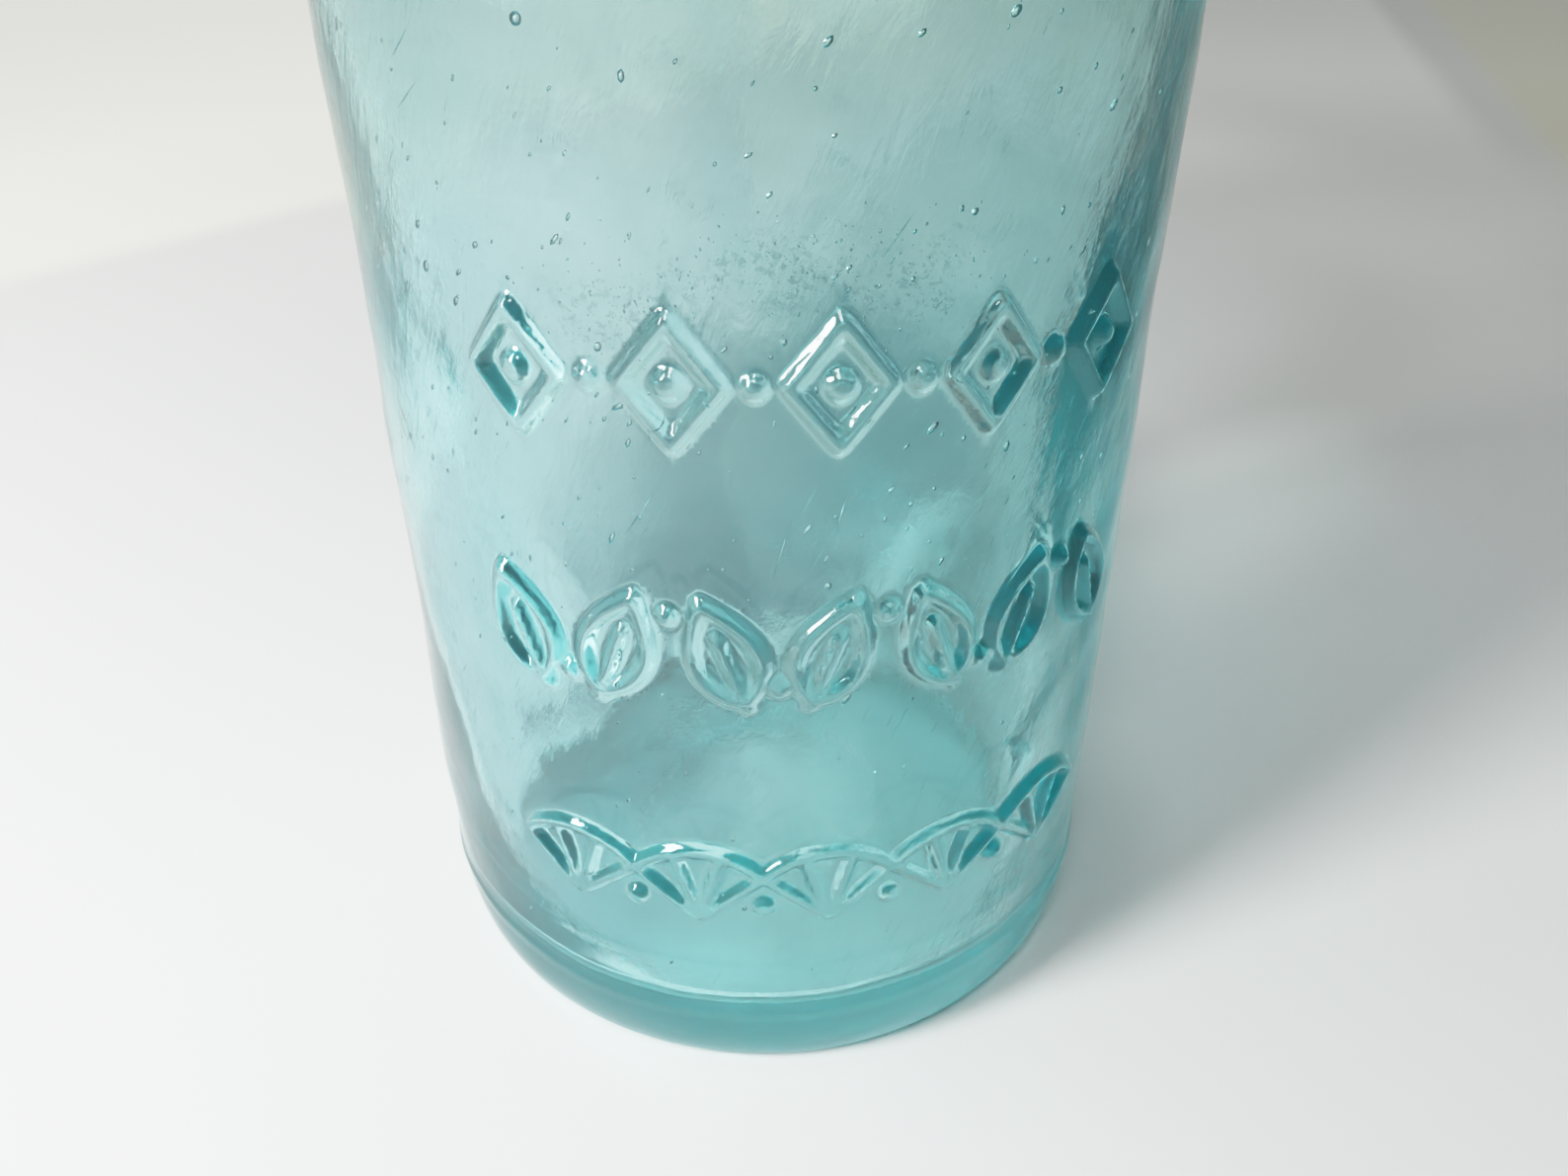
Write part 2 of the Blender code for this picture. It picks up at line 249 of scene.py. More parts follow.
def make_glass():
    inner, outer = inner_profile(), outer_profile()
    profile = np.vstack([inner, outer])
    count_in = len(inner)
    normal = normals_of(profile)
    phi = angles()
    cols, rows = len(phi), len(profile)
    P, Z = np.meshgrid(phi, profile[:, 1])
    R = profile[:, 0][:, None] * np.ones_like(P)
    move = np.zeros_like(P)

    # Outer surface: ripples left by the mould, and the ornament
    out = np.arange(rows) >= count_in
    body = smooth(1.0, 9.0, Z) * (1 - smooth(118, 128, Z))
    lip = smooth(140, 150, Z)
    long_wave, mid_wave, fine_wave = Ripple(3, 22, 50), Ripple(5, 7, 18, 40), Ripple(8, 2.6, 6, 60)
    outer_move = 0.10 * long_wave(P, Z) + 0.032 * mid_wave(P, Z) + (0.005 + 0.004 * smooth(52, 80, Z)) * fine_wave(P, Z)
    outer_move = outer_move * (body + 0.5 * lip)
    arc = BODY_R * (((P - math.radians(FRONT_TURN) + math.pi) % (2 * math.pi)) - math.pi)
    zone = out[:, None] & (Z > 17) & (Z < 73) & (np.abs(arc) < 29)
    raised = np.zeros_like(P)
    raised[zone] = ornament_height(arc[zone], Z[zone])
    # the line left where the body mould met the base plate
    raised = raised + np.where(out[:, None], 0.16 * np.exp(-(((Z - 8.1) / 0.42) ** 2)), 0)
    # two mould seams at the sides, up to the neck
    for side in (-90, 90):
        away = BODY_R * (((P - math.radians(FRONT_TURN + side) + math.pi) % (2 * math.pi)) - math.pi)
        outer_move = outer_move + 0.10 * np.exp(-((away / 0.55) ** 2)) * smooth(1.0, 6.0, Z) * (1 - smooth(136, 150, Z))
    # Inner surface: the glass is of uneven thickness
    thick_wave, thick_mid = Ripple(21, 26, 60, 20), Ripple(23, 9, 22, 36)
    fade_in = smooth(6.0, 20.0, Z) * (1 - smooth(112, 121, Z)) * smooth(8.0, 22.0, R)
    inner_move = (0.24 * thick_wave(P, Z) + 0.04 * thick_mid(P, Z)) * fade_in + uneven(P, Z) * smooth(20, 27, R)
    inner_move = inner_move + 1.2 * np.exp(-((R / 17) ** 2)) * (Z < 9)
    floor_zone = (Z < 9) & (R < 24)
    inner_move = inner_move + np.where(floor_zone, 0.25 * thick_wave(P * 0 + R / 12, Z * 0 + 3 * np.sin(P)) * smooth(0, 9, R), 0)

    # more glass was left at the back of the base than at the front
    back = np.exp(-(((((P - math.radians(193)) + math.pi) % (2 * math.pi)) - math.pi) / 1.45) ** 2)
    corner = np.exp(-((np.hypot(R - 28.2, Z - 5.6) / 5.5) ** 2))
    inner_move = inner_move + (0.7 + 0.7 * back) * corner
    inner_move = inner_move + np.where((Z < 12) & ~out[:, None], 1.9 * back * smooth(5, 24, R) * np.exp(-((np.maximum(R - 25.6, 0) / 2.6) ** 2)), 0)

    # the lip was laid on as a separate ring of glass and turned with a tool
    on_lip = out[:, None] & (Z > 153)
    tool = 0.05 * np.sin(Z * 2 * np.pi / 2.1 + 0.6 * np.sin(P)) * smooth(157, 160, Z) * (1 - smooth(171, 174, Z))
    outer_move = outer_move + np.where(on_lip, tool, 0)
    sag = 0.45 * Ripple(31, 16, 60, 12)(P, Z * 0) * np.exp(-(((Z - 155.2) / 1.6) ** 2))

    move = np.where(out[:, None], outer_move + raised, inner_move)
    R = R + move * normal[:, 0][:, None]
    Z = Z + move * normal[:, 1][:, None] + np.where(on_lip, sag, 0)
    R = np.maximum(R, 0)
    X, Y = R * np.sin(P), -R * np.cos(P)

    # one vertex where the profile meets the axis, at each end
    grid = np.stack([X, Y, Z], 2)[1:-1]
    rows_in = rows - 2
    top = np.array([[0, 0, profile[0, 1]], [0, 0, profile[-1, 1]]])
    verts = np.vstack([grid.reshape(-1, 3), top]) * MM
    i = np.arange(rows_in - 1)[:, None]
    j = np.arange(cols)[None, :]
    j2 = (j + 1) % cols
    quads = np.stack([i * cols + j, (i + 1) * cols + j, (i + 1) * cols + j2, i * cols + j2], 2).reshape(-1, 4)
    a, b = len(verts) - 2, len(verts) - 1
    last = (rows_in - 1) * cols
    level = np.append(move[1:-1].ravel(), [0, 0])
    first = np.abs(level[quads[:, 0]] - level[quads[:, 2]]) <= np.abs(level[quads[:, 1]] - level[quads[:, 3]])
    corners = np.where(first[:, None], [[0, 1, 2, 0, 2, 3]], [[0, 1, 3, 1, 2, 3]])
    faces = np.take_along_axis(quads, corners, 1).reshape(-1, 3).tolist()
    faces += [[a, k, (k + 1) % cols] for k in range(cols)]
    faces += [[b, last + (k + 1) % cols, last + k] for k in range(cols)]

    # surface coordinates in units of 100 mm: round the bottle, and up it
    start = ((phi + np.pi) % (2 * np.pi) - np.pi) * BODY_R / 100
    turn = np.stack([start, start + np.diff(np.append(phi, phi[0] + 2 * np.pi)) * BODY_R / 100])
    up = profile[1:-1, 1] / 100 + np.where(out[1:-1], 0, 3)
    low, high, side = i + 0 * j, i + 1 + 0 * j, j + 0 * i
    uv = np.stack(
        [np.stack([turn[c][side], up[r]], 2) for c, r in ((0, low), (0, high), (1, high), (1, low))], 2
    ).reshape(-1, 4, 2)
    uv = np.take_along_axis(uv, corners[:, :, None], 1).reshape(-1, 2)
    caps = []
    for row, order in ((0, (0, 0, 1)), (rows_in - 1, (0, 1, 0))):
        for k in range(cols):
            caps += [(turn[o][k], up[row]) for o in order]
    return verts, faces, np.vstack([uv, caps])


def make_seeds(first):
    """Air bubbles in the wall: closed shells that face inwards. The glass was drawn up and turned as it was blown, so most are long and lean the same way. Pits just under the skin stand for the speckled wear."""
    rng = np.random.default_rng(11)
    corners = np.array([(1, 0, 0), (-1, 0, 0), (0, 1, 0), (0, -1, 0), (0, 0, 1), (0, 0, -1)], float)
    sides = np.array([(0, 2, 4), (2, 1, 4), (1, 3, 4), (3, 0, 4), (2, 0, 5), (1, 2, 5), (3, 1, 5), (0, 3, 5)])
    balls = [(corners, sides)]
    for fineness in (1, 2):
        bm = bmesh.new()
        bmesh.ops.create_icosphere(bm, subdivisions=fineness, radius=1.0)
        balls.append((np.array([v.co for v in bm.verts]), np.array([[v.index for v in f.verts] for f in bm.faces])))
        bm.free()
    skin = outer_profile()
    normal = normals_of(np.vstack([inner_profile(), skin]))[-len(skin) :]
    step = np.concatenate([[0], np.cumsum(np.hypot(*np.diff(skin, axis=0).T))])
    usable = step[(skin[:, 1] > 10) & (skin[:, 1] < 172)]

    verts, faces, uv, at = [], [], [], first

    def bubble(where, phi, depth, width, length, lean):
        nonlocal at
        r0, z0, nr, nz = (np.interp(where, step, c) for c in (skin[:, 0], skin[:, 1], normal[:, 0], normal[:, 1]))
        r, z = r0 - nr * depth, z0 - nz * depth
        out = np.array([math.sin(phi) * nr, -math.cos(phi) * nr, nz])
        side = np.array([math.cos(phi), math.sin(phi), 0])
        up = np.cross(out, side)
        up = up if up[2] > 0 else -up
        long_axis = up * math.cos(lean) + side * math.sin(lean)
        cross = side * math.cos(lean) - up * math.sin(lean)
        ball, tris = balls[2 if width > 0.25 else 1 if width > 0.10 else 0]
        shape = ball[:, :1] * cross * width + ball[:, 1:2] * out * width * 0.85 + ball[:, 2:] * long_axis * length
        centre = np.array([math.sin(phi) * r, -math.cos(phi) * r, z])
        verts.append((shape + centre) * MM)
        faces.append(tris + at)
        uv.append(np.full((tris.size, 2), (phi * BODY_R / 100, z / 100)))
        at += len(ball)

    made = 0
    while made < 2650:
        where = rng.uniform(usable.min(), usable.max())
        z = float(np.interp(where, step, skin[:, 1]))
        if rng.uniform() > 0.16 + 0.84 * smooth(22, 58, z):
            continue
        phi = rng.uniform(0, 2 * np.pi)
        hair = rng.uniform() < 0.05
        width = 0.05 if hair else float(np.clip(np.exp(rng.normal(np.log(0.125), 0.42)), 0.06, 0.40))
        length = rng.uniform(0.9, 2.4) if hair else width * float(np.clip(rng.normal(1.9, 0.6), 1.0, 3.4))
        lean = math.radians(rng.normal(31, 11))
        deepest = min(2.9, WALL - 0.8 + min(0.0, float(uneven(phi, z))))
        bubble(where, phi, rng.uniform(width + 0.15, max(width + 0.2, deepest - width)), width, length, lean)
        made += 1
    for s, z, ds, dz, count in ((-14.6, 68.4, 3.4, 2.4, 90), (-5.6, 71.4, 4.6, 1.8, 80), (3.4, 70.9, 4.2, 2.6, 90)):
        for _ in range(count):
            zz = z + dz * rng.normal()
            where = np.interp(-min(zz, 101.0), -skin[:, 1], step)
            width = float(np.clip(np.exp(rng.normal(np.log(0.055), 0.3)), 0.03, 0.1))
            bubble(where, math.radians(FRONT_TURN) + (s + ds * rng.normal()) / BODY_R, width + rng.uniform(0.06, 0.2), width, width * rng.uniform(1, 2), rng.uniform(-0.9, 0.9))
    return np.vstack(verts), np.vstack(faces).tolist(), np.vstack(uv)


# ---------------------------------------------------------------- materials
def nodes_of(name):
    mat = bpy.data.materials.new(name)
    mat.use_nodes = True
    nt = mat.node_tree
    return mat, nt, nt.nodes["Principled BSDF"], nt.nodes["Material Output"]


def node(nt, kind, **values):
    n = nt.nodes.new(kind)
    for k, v in values.items():
        if k in n.inputs:
            n.inputs[k].default_value = v
        else:
            setattr(n, k, v)
    return n


class Maths:
    """Sums on sockets, to write a material's masks as formulas."""

    def __init__(self, nt):
        self.nt = nt

    def op(self, kind, *args):
        n = self.nt.nodes.new("ShaderNodeMath")
        n.operation = kind
        for i, a in enumerate(args):
            if isinstance(a, (int, float)):
                n.inputs[i].default_value = a
            else:
                self.nt.links.new(a, n.inputs[i])
        return n.outputs[0]

    def add(self, a, b):
        return self.op("ADD", a, b)

    def mul(self, a, b):
        return self.op("MULTIPLY", a, b)

    def axis(self, x, y, dx, dy):
        """Position along a direction."""
        return self.op("MULTIPLY_ADD", x, dx, self.mul(y, dy))

    def step(self, value, start, end, low=0.0, high=1.0):
        n = self.nt.nodes.new("ShaderNodeMapRange")
        n.interpolation_type = "SMOOTHSTEP"
        self.nt.links.new(value, n.inputs["Value"])
        n.inputs["From Min"].default_value = start
        n.inputs["From Max"].default_value = end
        n.inputs["To Min"].default_value = low
        n.inputs["To Max"].default_value = high
        return n.outputs["Result"]

    def blend(self, factor, first, second):
        n = self.nt.nodes.new("ShaderNodeMix")
        n.data_type = "RGBA"
        self.nt.links.new(factor, n.inputs[0])
        for i, c in ((6, first), (7, second)):
            if isinstance(c, tuple):
                n.inputs[i].default_value = (*c, 1)
            else:
                self.nt.links.new(c, n.inputs[i])
        return n.outputs[2]


def glass_material():
    mat, nt, p, out = nodes_of("blown_glass")
    p.inputs["Base Color"].default_value = (0.98, 1.0, 1.0, 1)
    p.inputs["IOR"].default_value = 1.52
    p.inputs["Transmission Weight"].default_value = 0.985
    place = node(nt, "ShaderNodeTexCoord")
    f = Maths(nt)
    # the underside is scuffed, the rest has the soft dullness of old glass, in patches
    height = node(nt, "ShaderNodeSeparateXYZ")
    nt.links.new(place.outputs["Object"], height.inputs["Vector"])
    low = f.step(height.outputs["Z"], 0.0004, 0.0026, 0.24, 0.0)
    low.node.name = "underside"
    patches = node(nt, "ShaderNodeTexNoise", Scale=26.0, Detail=3.0, Roughness=0.6)
    nt.links.new(place.outputs["Object"], patches.inputs["Vector"])
    dull = f.step(patches.outputs["Fac"], 0.35, 0.75, 0.07, 0.15)
    dull.node.name = "dullness"
    nt.links.new(f.add(low, dull), p.inputs["Roughness"])
    # fine orange peel, and short leaning scratches in the skin
    fine = node(nt, "ShaderNodeTexNoise", Scale=380.0, Detail=3.0, Roughness=0.5)
    nt.links.new(place.outputs["Object"], fine.inputs["Vector"])
    uv = node(nt, "ShaderNodeUVMap", uv_map="surface")
    turned = node(nt, "ShaderNodeMapping", vector_type="TEXTURE")
    turned.inputs["Rotation"].default_value = (0, 0, math.radians(62))
    turned.inputs["Scale"].default_value = (1 / 26, 1 / 520, 1.0)
    nt.links.new(uv.outputs["UV"], turned.inputs["Vector"])
    streak = node(nt, "ShaderNodeTexNoise", Scale=1.0, Detail=1.0, Roughness=0.4)
    nt.links.new(turned.outputs["Vector"], streak.inputs["Vector"])
    scratch = f.step(streak.outputs["Fac"], 0.73, 0.78)
    grain = node(nt, "ShaderNodeTexNoise", Scale=2600.0, Detail=2.0, Roughness=0.6)
    nt.links.new(place.outputs["Object"], grain.inputs["Vector"])
    pulled = node(nt, "ShaderNodeMapping", vector_type="TEXTURE")
    pulled.inputs["Rotation"].default_value = (0, 0, math.radians(66))
    pulled.inputs["Scale"].default_value = (1 / 16, 1 / 52, 1.0)
    nt.links.new(uv.outputs["UV"], pulled.inputs["Vector"])
    drawn = node(nt, "ShaderNodeTexNoise", Scale=1.0, Detail=4.0, Roughness=0.62, Distortion=0.6)
    nt.links.new(pulled.outputs["Vector"], drawn.inputs["Vector"])
    upper = f.step(height.outputs["Z"], 0.045, 0.080, 0.5, 1.6)
    height_sum = f.add(f.mul(fine.outputs["Fac"], 0.55), f.mul(scratch, -0.22))
    height_sum = f.add(height_sum, f.mul(grain.outputs["Fac"], 0.075))
    height_sum = f.add(height_sum, f.mul(f.mul(drawn.outputs["Fac"], upper), 0.55))
    bump = node(nt, "ShaderNodeBump", Strength=0.22, Distance=0.0003)
    nt.links.new(height_sum, bump.inputs["Height"])
    nt.links.new(bump.outputs["Normal"], p.inputs["Normal"])
    # clouds of mineral haze, stains made of fine dark specks, and painted shade down the left side
    split = node(nt, "ShaderNodeSeparateXYZ")
    nt.links.new(uv.outputs["UV"], split.inputs["Vector"])
    s_axis, z_axis = split.outputs["X"], split.outputs["Y"]
    specks = node(nt, "ShaderNodeTexNoise", Scale=2100.0, Detail=3.0, Roughness=0.7)
    nt.links.new(place.outputs["Object"], specks.inputs["Vector"])
    ragged = node(nt, "ShaderNodeTexNoise", Scale=330.0, Detail=4.0, Roughness=0.7)
    nt.links.new(place.outputs["Object"], ragged.inputs["Vector"])
    centre = math.radians(FRONT_TURN) * BODY_R / 100
    stained = None
    for cs, cz, rs, rz in ((-14.6, 68.6, 6.0, 3.6), (-4.6, 71.6, 8.0, 2.6), (4.6, 70.6, 5.4, 4.2), (-4.0, 91.0, 14.0, 2.0)):
        u = f.op("MULTIPLY", f.op("SUBTRACT", s_axis, centre + cs / 100), 100 / rs)
        v = f.op("MULTIPLY", f.op("SUBTRACT", z_axis, cz / 100), 100 / rz)
        d = f.op("SQRT", f.add(f.mul(u, u), f.mul(v, v)))
        d = f.add(d, f.op("MULTIPLY_ADD", ragged.outputs["Fac"], 2.6, -1.25))
        here = f.step(d, 0.25, 1.0, 1, 0)
        stained = here if stained is None else f.op("MAXIMUM", stained, here)
    dark = f.mul(f.step(specks.outputs["Fac"], 0.50, 0.60), stained)
    cloud = node(nt, "ShaderNodeTexNoise", Scale=95.0, Detail=5.0, Roughness=0.62, Distortion=0.5)
    nt.links.new(place.outputs["Object"], cloud.inputs["Vector"])
    hazy = f.mul(f.step(cloud.outputs["Fac"], 0.40, 0.72), f.step(height.outputs["Z"], 0.050, 0.075, 0.45, 1.0))
    tint = f.blend(hazy, (0.985, 1.0, 1.0), (0.80, 0.87, 0.87))
    film = node(nt, "ShaderNodeTexNoise", Scale=52.0, Detail=4.0, Roughness=0.58, Distortion=0.8)
    nt.links.new(place.outputs["Object"], film.inputs["Vector"])
    green = f.mul(f.step(film.outputs["Fac"], 0.46, 0.66), f.step(height.outputs["Z"], 0.068, 0.092, 0.0, 0.8))
    tint = f.blend(green, tint, (0.94, 0.93, 0.85))
    # painted shade: the glass's left side is tinted darker and bluer
    tint = f.blend(f.step(s_axis, centre - 0.13, centre - 0.28, 0.0, 0.9), tint, (0.80, 0.87, 0.895))
    tint = f.blend(f.mul(dark, 0.75), tint, (0.36, 0.45, 0.47))
    nt.links.new(tint, p.inputs["Base Color"])
    vol = node(nt, "ShaderNodeVolumeAbsorption")
    vol.inputs["Color"].default_value = (0.08, 0.858, 0.872, 1)
    vol.inputs["Density"].default_value = 70.0
    nt.links.new(vol.outputs["Volume"], out.inputs["Volume"])
    return mat


def plain(name, colour, roughness, metallic=0.0):
    mat, nt, p, out = nodes_of(name)
    p.inputs["Base Color"].default_value = (*colour, 1)
    p.inputs["Roughness"].default_value = roughness
    p.inputs["Metallic"].default_value = metallic
    return mat


# ---------------------------------------------------------------- the stopper
def rounded(corners, n=4):
    """A closed profile from (radius, height, fillet) corners."""
    pts = []
    count = len(corners)
    for k in range(count):
        a, b, c = (np.array(corners[(k + d) % count][:2]) for d in (-1, 0, 1))
        f = corners[k][2]
        if f <= 0:
            pts.append(b)
            continue
        la, lc = np.linalg.norm(a - b), np.linalg.norm(c - b)
        p, q = b + (a - b) / la * min(f, la * 0.49), b + (c - b) / lc * min(f, lc * 0.49)
        for t in np.linspace(0, 1, n + 1):
            pts.append((1 - t) ** 2 * p + 2 * t * (1 - t) * b + t * t * q)
    return np.array(pts)


def lathe(name, profile, mat, closed=True, steps=72, wobble=0.0, seed=0):
    """A turned piece. The profile runs anticlockwise in (radius, height)."""
    phi = np.arange(steps) * 2 * np.pi / steps
    rng = np.random.default_rng(seed)
    shift = sum(rng.normal() * np.cos(k * phi + rng.uniform(0, 6.28)) / k for k in range(2, 7)) * wobble
    verts, faces = [], []
    rows = []
    for r, z in profile:
        if r < 1e-6:
            rows.append([len(verts)])
            verts.append((0, 0, z))
        else:
            rows.append(list(range(len(verts), len(verts) + steps)))
            for a, d in zip(phi, shift):
                rr = r + d * (r / max(q[0] for q in profile))
                verts.append((rr * math.sin(a), -rr * math.cos(a), z))
    pairs = list(zip(rows, rows[1:])) + ([(rows[-1], rows[0])] if closed else [])
    for a, b in pairs:
        for k in range(steps):
            k2 = (k + 1) % steps
            if len(a) == 1:
                faces.append([a[0], b[k2], b[k]])
            elif len(b) == 1:
                faces.append([a[k], a[k2], b[0]])
            else:
                faces.append([a[k], a[k2], b[k2], b[k]])
    obj = new_object(name, np.array(verts) * MM, faces)
    obj.data.materials.append(mat)
    return obj


def catmull(points, per_span):
    pts = [points[0]] + list(points) + [points[-1]]
    out = []
    for a, b, c, d in zip(pts, pts[1:], pts[2:], pts[3:]):
        for t in np.linspace(0, 1, per_span, endpoint=False):
            out.append(0.5 * (2 * b + (c - a) * t + (2 * a - 5 * b + 4 * c - d) * t * t + (3 * b - a - 3 * c + d) * t**3))
    out.append(pts[-1])
    return np.array(out)


def wire_piece(mat):
    half = [
        (0.35, EYE_Z), (2.0, EYE_Z), (3.6, EYE_Z), (5.2, EYE_Z + 0.9), (6.1, EYE_Z + 3.0), (6.5, EYE_Z + 7.0),
        (6.6, 146.0), (6.3, 153.0), (5.1, 159.5), (3.8, 164.5), (3.45, 168.5), (4.1, 172.5), (5.9, 176.4),
        (7.35, 180.6), (7.0, 184.6), (4.4, 187.6), (0.0, LOOP_TOP_Z),
    ]
    route = half + [(-x, z) for x, z in reversed(half[:-1])]
    line_points = catmull(np.array([(x, 0.0, z) for x, z in route]), 10)
    sides = 18
    ring = np.arange(sides) * 2 * np.pi / sides
    tangent = np.gradient(line_points, axis=0)
    tangent /= np.linalg.norm(tangent, axis=1)[:, None]
    verts, faces = [], []
    last = len(line_points) - 1
    for k, (c, t) in enumerate(zip(line_points, tangent)):
        y = np.array([0.0, 1.0, 0.0])
        n = np.cross(y, t)
        inset = 0.86 if k in (0, last) else 1.0
        for a in ring:
            verts.append(c + inset * WIRE_R * (n * math.cos(a) + y * math.sin(a)))
    for k in range(last):
        for m in range(sides):
            m2 = (m + 1) % sides
            faces.append([k * sides + m, k * sides + m2, (k + 1) * sides + m2, (k + 1) * sides + m])
    faces.append(list(range(sides))[::-1])
    faces.append([last * sides + m for m in range(sides)])
    obj = new_object("spring_wire", np.array(verts) * MM, faces)
    obj.data.materials.append(mat)
    return obj


def bored(obj, radius):
    """The stud's eye, through it along X at the wire's height."""
    bm = bmesh.new()
    bmesh.ops.create_cone(bm, cap_ends=True, segments=48, radius1=radius * MM, radius2=radius * MM, depth=0.02)
    tool_mesh = bpy.data.meshes.new("eye_tool")
    bm.to_mesh(tool_mesh)
    bm.free()
    tool = bpy.data.objects.new("eye_tool", tool_mesh)
    tool.rotation_euler = (0, math.pi / 2, 0)
    tool.location = (0, 0, EYE_Z * MM)
    bpy.context.scene.collection.objects.link(tool)
    cut = obj.modifiers.new("eye", "BOOLEAN")
    cut.operation, cut.object, cut.solver = "DIFFERENCE", tool, "EXACT"
    bpy.context.view_layer.update()
    made = bpy.data.meshes.new_from_object(obj.evaluated_get(bpy.context.evaluated_depsgraph_get()))
    obj.modifiers.clear()
    obj.data = made
    made.shade_smooth()
    made.set_sharp_from_angle(angle=math.radians(40))
    bpy.data.objects.remove(tool, do_unlink=True)


def metal_material(name, colour, dark, rust_level, scale):
    """Tinned steel that has gone dull, with rust where the tin has worn through."""
    mat, nt, p, out = nodes_of(name)
    place = node(nt, "ShaderNodeTexCoord")
    f = Maths(nt)
    spots = node(nt, "ShaderNodeTexNoise", Scale=scale, Detail=6.0, Roughness=0.62)
    nt.links.new(place.outputs["Object"], spots.inputs["Vector"])
    cloud = node(nt, "ShaderNodeTexNoise", Scale=scale * 0.35, Detail=3.0, Roughness=0.5)
    nt.links.new(place.outputs["Object"], cloud.inputs["Vector"])
    rust = f.step(spots.outputs["Fac"], rust_level, rust_level + 0.07)
    tarnish = f.step(cloud.outputs["Fac"], 0.38, 0.62)
    base = f.blend(tarnish, colour, dark)
    shade = f.blend(spots.outputs["Fac"], (0.22, 0.085, 0.035), (0.10, 0.045, 0.025))
    nt.links.new(f.blend(rust, base, shade), p.inputs["Base Color"])
    nt.links.new(f.op("SUBTRACT", 1.0, rust), p.inputs["Metallic"])
    nt.links.new(f.add(f.mul(rust, 0.42), f.op("MULTIPLY_ADD", tarnish, 0.16, 0.30)), p.inputs["Roughness"])
    bump = node(nt, "ShaderNodeBump", Strength=0.5, Distance=0.00012)
    nt.links.new(f.add(f.mul(rust, 0.6), spots.outputs["Fac"]), bump.inputs["Height"])
    nt.links.new(bump.outputs["Normal"], p.inputs["Normal"])
    return mat


def rubber_material():
    """Old black rubber: chalky, finely cracked."""
    mat, nt, p, out = nodes_of("old_rubber")
    place = node(nt, "ShaderNodeTexCoord")
    f = Maths(nt)
    cloud = node(nt, "ShaderNodeTexNoise", Scale=260.0, Detail=5.0, Roughness=0.6)
    nt.links.new(place.outputs["Object"], cloud.inputs["Vector"])
    cells = node(nt, "ShaderNodeTexVoronoi", feature="DISTANCE_TO_EDGE", Scale=520.0)
    nt.links.new(place.outputs["Object"], cells.inputs["Vector"])
    nt.links.new(f.blend(cloud.outputs["Fac"], (0.022, 0.020, 0.019), (0.075, 0.070, 0.064)), p.inputs["Base Color"])
    nt.links.new(f.op("MULTIPLY_ADD", cloud.outputs["Fac"], 0.25, 0.58), p.inputs["Roughness"])
    crack = f.step(cells.outputs["Distance"], 0.0, 0.06)
    bump = node(nt, "ShaderNodeBump", Strength=0.45, Distance=0.0002)
    nt.links.new(f.add(f.mul(crack, 0.7), cloud.outputs["Fac"]), bump.inputs["Height"])
    nt.links.new(bump.outputs["Normal"], p.inputs["Normal"])
    return mat


# ---------------------------------------------------------------- build
verts, faces, surface = make_glass()
seed_verts, seed_faces, seed_surface = make_seeds(len(verts))
glass = new_object("glass", np.vstack([verts, seed_verts]), faces + seed_faces)
uv_layer = glass.data.uv_layers.new(name="surface")
uv_layer.data.foreach_set("uv", np.vstack([surface, seed_surface]).astype(np.float32).ravel())
glass.data.materials.append(glass_material())
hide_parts("glass_bottle", "blob_lip")
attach(glass, "bottle")

HOLE = 2.3
wire_mat = metal_material("tinned_wire", (0.50, 0.485, 0.455), (0.30, 0.28, 0.255), 0.60, 420.0)
plate_mat = metal_material("stamped_metal", (0.46, 0.44, 0.41), (0.27, 0.245, 0.22), 0.575, 300.0)

spring = wire_piece(wire_mat)
gasket = lathe(
    "gasket",
    rounded([(HOLE, 123.5, 0.2), (12.5, 123.5, 0.9), (12.5, 128.1, 1.6), (HOLE, 128.1, 0.2)], 8),
    rubber_material(),
    steps=120,
    wobble=0.05,
    seed=4,
)
upper = lathe(
    "plate_above",
    rounded([(HOLE, 128.4, 0.1), (7.6, 128.4, 0.1), (7.6, 129.4, 0.85), (5.0, 129.4, 0.3), (4.7, 129.25, 0.3), (HOLE, 129.25, 0.15)], 6),
    plate_mat,
    steps=96,
    wobble=0.04,
    seed=5,
)
lower = lathe(
    "plate_below",
    rounded([(HOLE, 122.2, 0.15), (6.2, 122.2, 0.3), (6.5, 122.35, 0.3), (7.4, 122.35, 0.3), (7.7, 122.2, 0.3), (10.2, 122.2, 0.85), (10.2, 123.2, 0.1), (HOLE, 123.2, 0.1)], 6),
    plate_mat,
    steps=96,
    wobble=0.05,
    seed=6,
)
stud_line = [np.array([(0.0, 120.3)]), ellipse((0.0, 121.5), 4.6, 1.2, -90, 0, 10)]
stud_line += [rounded([(4.6, 121.55, 0), (4.6, 121.9, 0.2), (2.0, 121.9, 0.15), (2.0, 129.7, 0.15), (3.3, 129.7, 0.2), (3.3, 133.9, 0)], 4)]
stud_line += [ellipse((0.0, 133.9), 3.3, 1.3, 0, 90, 10)]
stud_line = np.vstack(stud_line)
stud_line[-1] = (0.0, 135.2)
stud = lathe("stud", stud_line, plate_mat, closed=False, steps=72)
bored(stud, WIRE_R + 0.3)

for piece, name, slot in (
    (spring, "spring_wire_loop", "wire_steel"),
    (stud, "stopper_stud", "plate_metal"),
    (upper, "upper_plate", "plate_metal"),
    (lower, "lower_plate", "plate_metal"),
    (gasket, "rubber_gasket", "gasket_rubber"),
):
    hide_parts(name)
    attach(piece, "stopper")

# ---------------------------------------------------------------- floor, light and camera
U = BODY_R * MM


def stage_mesh(name, verts, faces, mat):
    obj = new_object(name, verts, faces, True)
    obj.data.materials.append(mat)
    return obj


